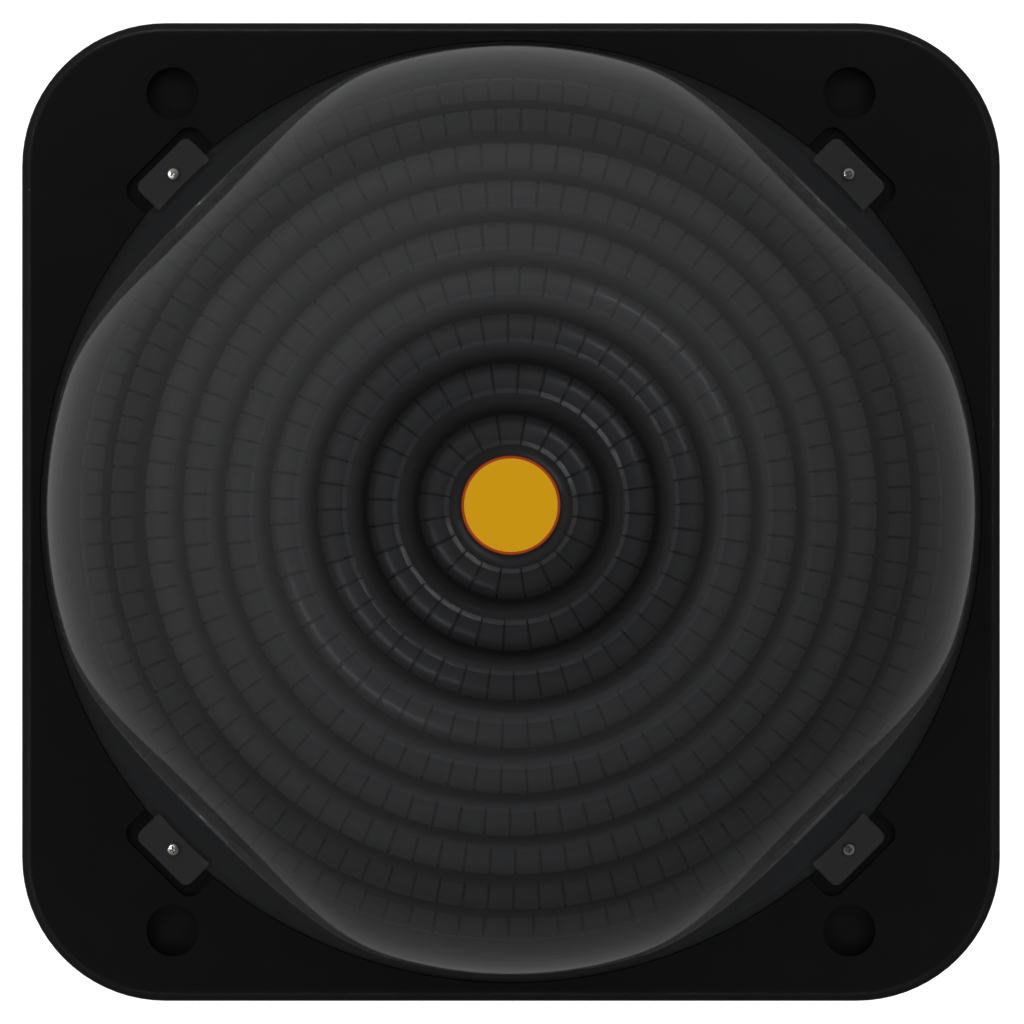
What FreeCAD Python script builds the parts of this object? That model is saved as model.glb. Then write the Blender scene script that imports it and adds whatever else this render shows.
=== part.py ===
import FreeCAD, Part
import math
import os
from FreeCAD import Vector

# Solar dome pool heater: a square moulded base carries a coil of black hose turns under a clear
# dome, and two folding legs under the base tilt it towards the sun.
# Millimetres.  Origin at the bottom centre of the feet, +Z up.  The two hose ports face -Y.

# ---------------------------------------------------------------- driving dimensions
# Base
BASE_SIZE = 600.0            # side of the rounded square
BASE_CORNER_R = 88.0
DECK_HEAD_ROOM = 2.7         # between a port's flange and the deck
SKIRT_BOTTOM_Z = 4.0
SKIRT_WALL = 4.0
DECK_WALL = 4.0
TOP_EDGE_R = 7.0             # rounded upper edge of the skirt
PAN_BOTTOM_Z = 13.0
PAN_WALL = 3.0
PAN_GAP = 0.5                # around the pan, inside the skirt
PAN_SCREW_INSET = 17.0       # screw line, in from the skirt's outer face
BOSS_R = 5.5                 # screw bosses under the deck

# Round recesses in the deck, each the top of a foot post
RECESS_X = 207.0
RECESS_Y = 256.0
RECESS_R = 16.0
RECESS_DEPTH = 9.0
POST_WALL = 3.0
POST_FLOOR = 3.0
FOOT_PLUG_LENGTH = 12.0

# Clear cover
COVER_R = 278.0              # foot of the dome wall
COVER_APEX_Z = 329.5
COVER_POWER = 2.6            # superellipse exponent of the round dome
FACET_R = 260.0              # foot of the flatter profile on the diagonals
FACET_POWER = 3.15
COVER_WALL = 2.5
FLANGE_R = 287.5
FLANGE_WALL = 3.0
FLANGE_INNER_R = 262.0
LIP_WIDTH = 4.0
LIP_HEIGHT = 1.2
SEAL_THICK = 1.5
REBATE_GAP = 0.8             # around the flange
EAR_RADIUS = 303.5           # outer end of each screw ear
EAR_WIDTH = 44.5
EAR_CORNER_R = 5.0
POCKET_WIDTH = 60.0
POCKET_END_GAP = 4.5         # beyond the end of the ear
EAR_SCREW_RADIUS = 292.0
SUN_DISC_R = 26.2
SUN_DISC_THICK = 0.5

# Screws
SCREW_R = 2.0
SCREW_HEAD_R = 4.0
SCREW_HEAD_HEIGHT = 2.4
SCREW_LENGTH = 14.0
SCREW_HOLE_GAP = 0.1
CROSS_LENGTH = 4.6           # cross recess in a screw head
CROSS_WIDTH = 0.9
CROSS_DEPTH = 1.3

# Coil: each turn is a hollow ring; the turns lie on a sphere and the lowest ones on an upright wall
HOSE_R = 14.0
HOSE_WALL = 2.5
TURN_PITCH = 28.6
COIL_SPHERE_R = 316.0
COIL_TOP_Z = 272.0           # top of the sphere through the turns' centres
FIRST_TURN_TILT = 6.66       # degrees from the axis
SPHERE_TURNS = 9
WALL_TURNS = 2

# Joins between the turns
SPIGOT_R = 6.5
SPIGOT_BORE_R = 4.5
SPIGOT_LENGTH = 31.0         # from the turn's centre line, inwards
SPIGOT_OFFSET_X = 11.0       # each side of the middle plane, on the sphere
WALL_OFFSET_X = 33.0         # the same for the joins on the upright wall and the feed
LINK_R = 7.8
LINK_OVERLAP = 5.0           # spigot length inside a link
LINK_WALL = 2.5
LINK_DRILL_TURN = 30.0

# Feed and return pipes
PIPE_R = 10.0
PIPE_WALL = 2.0
PIPE_BEND_R = 17.0
FEED_RISER_Y = -178.0
RETURN_DROP = 40.0           # straight start of the return pipe
CLAMP_WIDTH = 8.0
CLAMP_THICK = 1.2
GROMMET_R = 15.0
GROMMET_LIP_R = 18.0
GROMMET_LIP = 2.0
GROMMET_GAP = 0.05

# Hose ports in the skirt
PORT_X = 70.0
PORT_BORE_R = 15.1
PORT_BORE_DEPTH = 22.0
PORT_BODY_R = 17.5
PORT_BODY_LENGTH = 30.0
PORT_TAIL_LENGTH = 18.0
PORT_TAIL_GAP = 0.1          # tail inside the pipe
PORT_FLANGE_RIM = 2.0        # above and below the body
PORT_FLANGE_WALL = 4.0
PORT_FLOOR_GAP = 0.3         # between a port's flange and the pan
PORT_SCREW_REACH = 7.5       # from the body out to each screw
PORT_SCREW_EDGE = 6.0        # from each screw to the flange's end
PORT_SCREW_LENGTH = 6.0
PORT_SEAL_THICK = 1.0
PORT_HOLE_GAP = 0.3

# Support arms under the coil, on the diagonals
ARM_THICK = 4.0
ARM_EDGE_DROP = 5.0          # arm's outer edge, inside the turns' centres
ARM_DEPTH = 26.0
ARM_HOSE_GAP = 0.15
ARM_START_TILT = 1.4
ARM_FOOT_LENGTH = 34.0
ARM_FOOT_WIDTH = 22.0
ARM_FOOT_THICK = 4.0
ARM_SCREW_OFFSET = 7.0
HUB_R = 18.0
HUB_HEIGHT = 30.0
HUB_FLOOR = 2.5

# Folding legs
LEG_X = 150.0
LEG_PIVOT_Y = 245.0
LEG_PIVOT_Z = 8.5
LEG_LENGTH = 180.0
LEG_WIDTH = 24.0
LEG_THICK = 6.0
LEG_BARREL_R = 4.0
LEG_SLOT_WIDTH = 10.0
LEG_SLOT_LENGTH = 110.0
LEG_TIP_LENGTH = 18.0
LEG_TIP_WALL = 1.2
PIN_R = 2.0
PIN_GAP = 0.05
PIN_HEAD_R = 3.4
PIN_HEAD = 1.5
LUG_WALL = 5.0
LUG_DEPTH = 12.0
LUG_SIDE_GAP = 0.4

# ---------------------------------------------------------------- places worked out from them
PAN_TOP_Z = PAN_BOTTOM_Z + PAN_WALL
PORT_SCREW_X = PORT_BODY_R + PORT_SCREW_REACH
PORT_FLANGE_X = 2 * (PORT_SCREW_X + PORT_SCREW_EDGE)
PORT_FLANGE_Z = 2 * (PORT_BODY_R + PORT_FLANGE_RIM)
PIPE_Z = PAN_TOP_Z + PORT_FLOOR_GAP + PORT_FLANGE_Z / 2   # level of the pipes and ports
BASE_TOP_Z = PIPE_Z + PORT_FLANGE_Z / 2 + DECK_HEAD_ROOM + DECK_WALL     # top face of the deck
REBATE_Z = BASE_TOP_Z - SEAL_THICK - FLANGE_WALL      # deck level under the cover
FLANGE_Z = REBATE_Z + SEAL_THICK
REBATE_R = FLANGE_R + REBATE_GAP
POCKET_RADIUS = EAR_RADIUS + POCKET_END_GAP
DECK_UNDER_Z = REBATE_Z - DECK_WALL
TURN_STEP = math.degrees(TURN_PITCH / COIL_SPHERE_R)
HALF = BASE_SIZE / 2.0
SKIRT_INNER = HALF - SKIRT_WALL
DIAGONALS = (45.0, 135.0, 225.0, 315.0)
UP = Vector(0, 0, 1)
ORIGIN = Vector(0, 0, 0)
CLEAR = 1.0                                           # overshoot of a cutting tool

os.makedirs("parts", exist_ok=True)


def save(name, solids):
    """Write the solids of one sub-part as parts/NAME.step."""
    shape = Part.makeCompound(solids) if len(solids) > 1 else solids[0]
    for solid in solids:
        if not solid.isValid() or solid.Volume <= 0:
            raise ValueError(name + " has a bad solid")
    shape.exportStep("parts/" + name + ".step")


# ---------------------------------------------------------------- shape helpers
def cylinder(radius, bottom, top, x=0.0, y=0.0):
    return Part.makeCylinder(radius, top - bottom, Vector(x, y, bottom))


def cylinder_y(radius, start, end, x, z):
    """A cylinder along Y from start to end."""
    return Part.makeCylinder(radius, end - start, Vector(x, start, z), Vector(0, 1, 0))


def cylinder_x(radius, start, end, y, z):
    return Part.makeCylinder(radius, end - start, Vector(start, y, z), Vector(1, 0, 0))


def block(x0, x1, y0, y1, z0, z1):
    return Part.makeBox(x1 - x0, y1 - y0, z1 - z0, Vector(x0, y0, z0))


def turned(shape, degrees):
    """A copy turned about the vertical axis."""
    copy = shape.copy()
    copy.rotate(ORIGIN, UP, degrees)
    return copy


def rounded_block(size_x, size_y, corner, bottom, top, centre_x=0.0, centre_y=0.0):
    """An upright block with its four upright edges rounded."""
    shape = block(-size_x / 2, size_x / 2, -size_y / 2, size_y / 2, bottom, top)
    upright = [e for e in shape.Edges if abs(e.Vertexes[0].Z - e.Vertexes[1].Z) > (top - bottom) / 2]
    shape = shape.makeFillet(corner, upright)
    shape.translate(Vector(centre_x, centre_y, 0))
    return shape


def screw(x, y, head_z, length, direction=1):
    """Pan head screw; its head sits on head_z and its shank runs down (or up for direction -1)."""
    head = cylinder(SCREW_HEAD_R, 0, SCREW_HEAD_HEIGHT)
    rim = [e for e in head.Edges if e.Closed and e.BoundBox.ZMin > SCREW_HEAD_HEIGHT / 2]
    head = head.makeFillet(SCREW_HEAD_HEIGHT * 0.6, rim)
    slot = (-CROSS_LENGTH / 2, CROSS_LENGTH / 2, -CROSS_WIDTH / 2, CROSS_WIDTH / 2)
    cross = block(*slot, SCREW_HEAD_HEIGHT - CROSS_DEPTH, SCREW_HEAD_HEIGHT + CLEAR)
    head = head.cut(cross.fuse(turned(cross, 90)))
    shape = head.fuse(cylinder(SCREW_R, -length, 0))
    if direction < 0:
        shape.rotate(ORIGIN, Vector(1, 0, 0), 180)
    shape.translate(Vector(x, y, head_z))
    return shape


def superellipse_points(radius, height, power, count=15):
    """Points of a quarter superellipse from the foot (radius, 0) to the apex (0, height)."""
    points = []
    for i in range(count):
        angle = math.pi / 2 * i / (count - 1)
        across = radius * max(math.cos(angle), 0.0) ** (2.0 / power)
        rise = height * max(math.sin(angle), 0.0) ** (2.0 / power)
        points.append((across, rise))
    points[-1] = (0.0, height)
    return points


def dome_curve(radius, height, power, base_z):
    """The quarter superellipse as one curve in the XZ plane, upright at its foot, level at its apex."""
    points = [Vector(r, 0, base_z + z) for r, z in superellipse_points(radius, height, power)]
    curve = Part.BSplineCurve()
    curve.interpolate(Points=points, InitialTangent=Vector(0, 0, 1), FinalTangent=Vector(-1, 0, 0))
    return curve.toShape()


def dome_solid(radius, facet_radius, height, base_z):
    """Round dome with a flatter band on each diagonal."""
    foot, centre, apex = Vector(radius, 0, base_z), Vector(0, 0, base_z), Vector(0, 0, base_z + height)
    wire = Part.Wire([dome_curve(radius, height, COVER_POWER, base_z),
                      Part.makeLine(apex, centre), Part.makeLine(centre, foot)])
    dome = Part.Face(wire).revolve(ORIGIN, UP, 360)
    facet = dome_curve(facet_radius, height, FACET_POWER, base_z)
    mirrored = facet.mirror(ORIGIN, Vector(1, 0, 0))
    floor = Part.makeLine(Vector(-facet_radius, 0, base_z), Vector(facet_radius, 0, base_z))
    wire = Part.Wire(Part.__sortEdges__([facet, mirrored, floor]))
    slab = Part.Face(wire).extrude(Vector(0, 2 * radius, 0))
    slab.translate(Vector(0, -radius, 0))
    for angle in (45.0, 135.0):
        dome = dome.common(turned(slab, angle))
    return dome


def pipe(points, radius, wall, bend):
    """A hollow pipe along straight runs joined by tangent arcs."""
    edges = []
    start = points[0]
    for before, corner, after in zip(points, points[1:], points[2:]):
        back, ahead = (before - corner).normalize(), (after - corner).normalize()
        half = back.getAngle(ahead) / 2.0
        trim = bend / math.tan(half)
        first, last = corner + back * trim, corner + ahead * trim
        to_centre = (back + ahead).normalize()
        middle = corner + to_centre * (bend / math.sin(half) - bend)
        edges += [Part.LineSegment(start, first).toShape(), Part.Arc(first, middle, last).toShape()]
        start = last
    edges.append(Part.LineSegment(start, points[-1]).toShape())
    path = Part.Wire(edges)
    direction = points[1] - points[0]
    rings = []
    for ring_radius in (radius, radius - wall):
        ring = Part.Wire(Part.makeCircle(ring_radius, points[0], direction))
        rings.append(path.makePipeShell([ring], True, False))
    return rings[0].cut(rings[1])


# ---------------------------------------------------------------- coil layout
def coil_layout():
    """Centre radius and height of each turn, from the top one down."""
    turns = []
    for i in range(SPHERE_TURNS):
        tilt = math.radians(FIRST_TURN_TILT + i * TURN_STEP)
        turns.append((COIL_SPHERE_R * math.sin(tilt), COIL_TOP_Z - COIL_SPHERE_R * (1 - math.cos(tilt))))
    for _ in range(WALL_TURNS):
        turns.append((turns[-1][0], turns[-1][1] - TURN_PITCH))
    return turns


TURNS = coil_layout()


def join_layout():
    """Place across and inward direction of each join: the return, the links, and the feed.

    Links alternate sides, so that the water goes right round each turn.
    """
    tilt = math.radians(FIRST_TURN_TILT)
    joins = [(SPIGOT_OFFSET_X, Vector(0, math.sin(tilt), -math.cos(tilt)))]
    for index, (upper, lower) in enumerate(zip(TURNS, TURNS[1:]), 1):
        across = Vector(0, upper[1] - lower[1], upper[0] - lower[0]).normalize()
        offset = SPIGOT_OFFSET_X if index < SPHERE_TURNS else WALL_OFFSET_X
        joins.append((-math.copysign(offset, joins[-1][0]), across))
    joins.append((-math.copysign(WALL_OFFSET_X, joins[-1][0]), Vector(0, 1, 0)))
    return joins


JOINS = join_layout()


def join_point(turn, join, distance=0.0):
    """Point on the axis of a join's spigot, a distance inwards from the turn's centre line."""
    radius, z = turn
    x, inwards = join
    return Vector(x, -math.sqrt(radius ** 2 - x ** 2), z) + inwards * distance


# ---------------------------------------------------------------- coil
def make_turns():
    for index, turn in enumerate(TURNS):
        radius, z = turn
        tube = Part.makeTorus(radius, HOSE_R, Vector(0, 0, z), UP)
        inside = Part.makeTorus(radius, HOSE_R - HOSE_WALL, Vector(0, 0, z), UP)
        for join in JOINS[index:index + 2]:
            start = join_point(turn, join)
            tube = tube.fuse(Part.makeCylinder(SPIGOT_R, SPIGOT_LENGTH, start, join[1]))
            inside = inside.fuse(Part.makeCylinder(SPIGOT_BORE_R, SPIGOT_LENGTH + CLEAR, start, join[1]))
        # baffle between the two spigots
        baffle = block(-HOSE_WALL / 2, HOSE_WALL / 2, -radius - HOSE_R, -radius + HOSE_R,
                       z - HOSE_R, z + HOSE_R)
        save("coil_turn_%02d" % (index + 1), [tube.cut(inside.cut(baffle))])


def make_links():
    """Moulded blocks, each joining a spigot of one turn to a spigot of the next."""
    links = []
    channel_at = SPIGOT_LENGTH + SPIGOT_BORE_R
    for upper, lower, join in zip(TURNS, TURNS[1:], JOINS[1:]):
        a, b = join_point(upper, join, channel_at), join_point(lower, join, channel_at)
        span = a.distanceToPoint(b)
        body = rounded_block(2 * LINK_R, span + 2 * LINK_R, LINK_R - CLEAR,
                             -SPIGOT_BORE_R - LINK_WALL, SPIGOT_BORE_R + LINK_OVERLAP)
        body.rotate(ORIGIN, Vector(1, 0, 0), math.degrees(math.atan2(a.z - b.z, a.y - b.y)))
        body.translate((a + b) * 0.5)
        body = body.cut(Part.makeCylinder(SPIGOT_BORE_R, span, a, b - a))
        for turn in (upper, lower):
            mouth = join_point(turn, join, SPIGOT_LENGTH - 2 * LINK_OVERLAP)
            for radius, start, length in ((SPIGOT_R, mouth, 2 * LINK_OVERLAP),
                                          (SPIGOT_BORE_R, join_point(turn, join, SPIGOT_LENGTH),
                                           2 * SPIGOT_BORE_R)):
                drill = Part.makeCylinder(radius, length, start, join[1])
                # turned so that its seam stays clear of the block's edges
                drill.rotate(start, join[1], LINK_DRILL_TURN)
                body = body.cut(drill)
        links.append(body)
    save("crossover_links", links)


# ---------------------------------------------------------------- pipes and ports
def pipe_routes():
    """Centre lines of the feed and the return, from the coil to the port."""
    port_y = -HALF + PORT_BODY_LENGTH
    turn_end = join_point(TURNS[-1], JOINS[-1], SPIGOT_LENGTH - LINK_OVERLAP)
    riser_top = Vector(turn_end.x, FEED_RISER_Y, turn_end.z)
    feed = [turn_end, riser_top, Vector(turn_end.x, FEED_RISER_Y, PIPE_Z),
            Vector(-PORT_X, FEED_RISER_Y, PIPE_Z), Vector(-PORT_X, port_y, PIPE_Z)]
    start = join_point(TURNS[0], JOINS[0], SPIGOT_LENGTH - LINK_OVERLAP)
    drop = start + JOINS[0][1] * RETURN_DROP
    back = [start, drop, Vector(drop.x, drop.y, PIPE_Z),
            Vector(PORT_X, drop.y - PORT_X, PIPE_Z), Vector(PORT_X, port_y, PIPE_Z)]
    return feed, back


FEED_ROUTE, RETURN_ROUTE = pipe_routes()


def make_pipes():
    for name, route, join in (("feed_pipe", FEED_ROUTE, JOINS[-1]), ("return_pipe", RETURN_ROUTE, JOINS[0])):
        tube = pipe(route, PIPE_R, PIPE_WALL, PIPE_BEND_R)
        # moulded reducer that takes the turn's spigot
        cuff = Part.makeCylinder(PIPE_R - PIPE_WALL, LINK_OVERLAP, route[0], join[1])
        hole = Part.makeCylinder(SPIGOT_R, LINK_OVERLAP, route[0], join[1])
        save(name, [tube.fuse(cuff.cut(hole))])


def make_ports():
    port_y = -HALF
    seals, screws = [], []
    for name, side in (("inlet_socket", -1), ("outlet_socket", 1)):
        x = side * PORT_X
        body_end = port_y + PORT_BODY_LENGTH
        tail_r = PIPE_R - PIPE_WALL - PORT_TAIL_GAP
        flange_y = port_y + SKIRT_WALL + PORT_SEAL_THICK
        body = cylinder_y(PORT_BODY_R, port_y, body_end, x, PIPE_Z)
        body = body.fuse(cylinder_y(tail_r, body_end, body_end + PORT_TAIL_LENGTH, x, PIPE_Z))
        body = body.fuse(block(x - PORT_FLANGE_X / 2, x + PORT_FLANGE_X / 2, flange_y,
                               flange_y + PORT_FLANGE_WALL, PIPE_Z - PORT_FLANGE_Z / 2,
                               PIPE_Z + PORT_FLANGE_Z / 2))
        body = body.cut(cylinder_y(PORT_BORE_R, port_y - CLEAR, port_y + PORT_BORE_DEPTH, x, PIPE_Z))
        body = body.cut(cylinder_y(tail_r - PIPE_WALL, port_y, body_end + PORT_TAIL_LENGTH + CLEAR,
                                   x, PIPE_Z))
        seal = block(x - PORT_FLANGE_X / 2, x + PORT_FLANGE_X / 2, port_y + SKIRT_WALL, flange_y,
                     PIPE_Z - PORT_FLANGE_Z / 2, PIPE_Z + PORT_FLANGE_Z / 2)
        seal = seal.cut(cylinder_y(PORT_BODY_R, port_y, body_end, x, PIPE_Z))
        for hand in (-1, 1):
            screw_x = x + hand * PORT_SCREW_X
            hole = cylinder_y(SCREW_R + SCREW_HOLE_GAP, port_y, body_end, screw_x, PIPE_Z)
            body = body.cut(hole)
            seal = seal.cut(hole)
            fixing = screw(0, 0, 0, PORT_SCREW_LENGTH)
            fixing.rotate(ORIGIN, Vector(1, 0, 0), -90)
            fixing.translate(Vector(screw_x, flange_y + PORT_FLANGE_WALL, PIPE_Z))
            screws.append(fixing)
        save(name, [body])
        seals.append(seal)
    save("port_seals", seals)
    save("port_screws", screws)


def clamp(centre, direction):
    start = centre - direction * (CLAMP_WIDTH / 2)
    ring = Part.makeCylinder(PIPE_R + CLAMP_THICK, CLAMP_WIDTH, start, direction)
    outward = math.copysign(PIPE_R + CLAMP_THICK, centre.x)
    reach = CLAMP_WIDTH / 2 - CLEAR
    lug = block(-reach, reach, -reach, reach, -reach, reach)
    lug.translate(centre + Vector(outward, 0, 0))
    return ring.fuse(lug).cut(Part.makeCylinder(PIPE_R, CLAMP_WIDTH + 2 * CLEAR,
                                                start - direction * CLEAR, direction))


def make_clamps():
    clamps = []
    for route in (FEED_ROUTE, RETURN_ROUTE):
        for end, neighbour in ((route[0], route[1]), (route[-1], route[-2])):
            direction = (neighbour - end).normalize()
            clamps.append(clamp(end + direction * (CLAMP_WIDTH / 2), direction))
    save("hose_clamps", clamps)


def grommet_places():
    return [FEED_ROUTE[2], RETURN_ROUTE[2]]


def make_grommets():
    grommets = []
    for place in grommet_places():
        body = cylinder(GROMMET_R, DECK_UNDER_Z - GROMMET_LIP, REBATE_Z + GROMMET_LIP, place.x, place.y)
        for bottom in (DECK_UNDER_Z - GROMMET_LIP, REBATE_Z):
            body = body.fuse(cylinder(GROMMET_LIP_R, bottom, bottom + GROMMET_LIP, place.x, place.y))
        bore = cylinder(PIPE_R + GROMMET_GAP, DECK_UNDER_Z - 2 * GROMMET_LIP, REBATE_Z + 2 * GROMMET_LIP,
                        place.x, place.y)
        grommets.append(body.cut(bore))
    save("pipe_grommets", grommets)


# ---------------------------------------------------------------- arms and hub
def arm_foot_radius():
    return TURNS[-1][0] - ARM_EDGE_DROP - ARM_DEPTH / 2


def make_arms():
    """Four upright plates that carry the turns in scallops."""
    centre_z = COIL_TOP_Z - COIL_SPHERE_R
    outer_r = COIL_SPHERE_R - ARM_EDGE_DROP
    inner_r = outer_r - ARM_DEPTH
    wall_r = TURNS[-1][0] - ARM_EDGE_DROP
    start = math.radians(ARM_START_TILT)

    def on_arc(radius, tilt):
        return Vector(radius * math.sin(tilt), 0, centre_z + radius * math.cos(tilt))

    def arc(radius, first, last):
        return Part.Arc(on_arc(radius, first), on_arc(radius, (first + last) / 2),
                        on_arc(radius, last)).toShape()

    outer_end = math.asin(wall_r / outer_r)
    inner_end = math.asin((wall_r - ARM_DEPTH) / inner_r)
    outer_foot = Vector(wall_r, 0, REBATE_Z)
    inner_foot = Vector(wall_r - ARM_DEPTH, 0, REBATE_Z)
    wire = Part.Wire([arc(outer_r, start, outer_end),
                      Part.makeLine(on_arc(outer_r, outer_end), outer_foot),
                      Part.makeLine(outer_foot, inner_foot),
                      Part.makeLine(inner_foot, on_arc(inner_r, inner_end)),
                      arc(inner_r, inner_end, start),
                      Part.makeLine(on_arc(inner_r, start), on_arc(outer_r, start))])
    plate = Part.Face(wire).extrude(Vector(0, ARM_THICK, 0))
    plate.translate(Vector(0, -ARM_THICK / 2, 0))
    for turn in TURNS:
        plate = plate.cut(Part.makeTorus(turn[0], HOSE_R + ARM_HOSE_GAP, Vector(0, 0, turn[1]), UP))
    foot_r = arm_foot_radius()
    foot = block(foot_r - ARM_FOOT_LENGTH / 2, foot_r + ARM_FOOT_LENGTH / 2, -ARM_FOOT_WIDTH / 2,
                 ARM_FOOT_WIDTH / 2, REBATE_Z, REBATE_Z + ARM_FOOT_THICK)
    for hand in (-1, 1):
        foot = foot.cut(cylinder(SCREW_R + SCREW_HOLE_GAP, REBATE_Z - CLEAR,
                                 REBATE_Z + ARM_FOOT_THICK + CLEAR, foot_r, hand * ARM_SCREW_OFFSET))
    arm = plate.fuse(foot)
    for number, angle in enumerate(DIAGONALS):
        save("support_arm_%d" % (number + 1), [turned(arm, angle)])

    top = centre_z + outer_r
    hub = cylinder(HUB_R, top - HUB_HEIGHT, top)
    slot = block(0, HUB_R + CLEAR, -ARM_THICK / 2, ARM_THICK / 2, top - HUB_HEIGHT + HUB_FLOOR, top + CLEAR)
    slot = slot.cut(cylinder(inner_r * math.sin(start) - CLEAR, top - HUB_HEIGHT, top + CLEAR))
    for angle in DIAGONALS:
        hub = hub.cut(turned(slot, angle))
    save("top_hub", [hub])


def arm_screw_places():
    places = []
    for angle in DIAGONALS:
        for hand in (-1, 1):
            place = Vector(arm_foot_radius(), hand * ARM_SCREW_OFFSET, 0)
            places.append(FreeCAD.Rotation(UP, angle).multVec(place))
    return places


# ---------------------------------------------------------------- cover
def ear_shape(width, end_radius, corner, bottom, top):
    """A tongue along +X from inside the flange to end_radius, with rounded outer corners."""
    length = end_radius - FLANGE_INNER_R
    shape = rounded_block(length, width, corner, bottom, top, FLANGE_INNER_R + length / 2)
    return shape


def cover_outer():
    return dome_solid(COVER_R, FACET_R, COVER_APEX_Z - FLANGE_Z, FLANGE_Z)


def make_cover():
    outer = cover_outer()
    inner = dome_solid(COVER_R - COVER_WALL, FACET_R - COVER_WALL,
                       COVER_APEX_Z - FLANGE_Z - COVER_WALL, FLANGE_Z)
    ring = cylinder(FLANGE_R, FLANGE_Z, FLANGE_Z + FLANGE_WALL)
    ring = ring.fuse(cylinder(FLANGE_R, FLANGE_Z, FLANGE_Z + FLANGE_WALL + LIP_HEIGHT).cut(
        cylinder(FLANGE_R - LIP_WIDTH, FLANGE_Z - CLEAR, FLANGE_Z + FLANGE_WALL + LIP_HEIGHT + CLEAR)))
    ear = ear_shape(EAR_WIDTH, EAR_RADIUS, EAR_CORNER_R, REBATE_Z, BASE_TOP_Z)
    ear = ear.cut(cylinder(FLANGE_R, REBATE_Z - CLEAR, FLANGE_Z))
    for angle in DIAGONALS:
        ring = ring.fuse(turned(ear, angle))
    for place in cover_screw_places():
        hole = cylinder(SCREW_R + SCREW_HOLE_GAP, REBATE_Z - CLEAR, BASE_TOP_Z + CLEAR, place.x, place.y)
        ring = ring.cut(hole)
    save("cover_dome", [outer.fuse(ring).cut(inner)])
    seal = cylinder(FLANGE_R, REBATE_Z, FLANGE_Z).cut(
        cylinder(FLANGE_INNER_R, REBATE_Z - CLEAR, FLANGE_Z + CLEAR))
    save("cover_seal", [seal])
    screws = [screw(p.x, p.y, BASE_TOP_Z, SCREW_LENGTH) for p in cover_screw_places()]
    save("cover_screws", screws)
    raised = outer.copy()
    raised.translate(Vector(0, 0, SUN_DISC_THICK))
    disc = cylinder(SUN_DISC_R, COVER_APEX_Z - 3 * SUN_DISC_THICK, COVER_APEX_Z + CLEAR)
    save("sun_disc", [disc.common(raised).cut(outer)])


def cover_screw_places():
    reach = Vector(EAR_SCREW_RADIUS, 0, 0)
    return [FreeCAD.Rotation(UP, angle).multVec(reach) for angle in DIAGONALS]


# ---------------------------------------------------------------- base
def pan_screw_places():
    line = HALF - PAN_SCREW_INSET
    return [Vector(0, line, 0), Vector(0, -line, 0), Vector(line, 0, 0), Vector(-line, 0, 0),
            Vector(line, line - BASE_CORNER_R, 0), Vector(-line, line - BASE_CORNER_R, 0),
            Vector(line, BASE_CORNER_R - line, 0), Vector(-line, BASE_CORNER_R - line, 0)]


def recess_places():
    return [Vector(sx * RECESS_X, sy * RECESS_Y, 0) for sx in (-1, 1) for sy in (-1, 1)]


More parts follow.
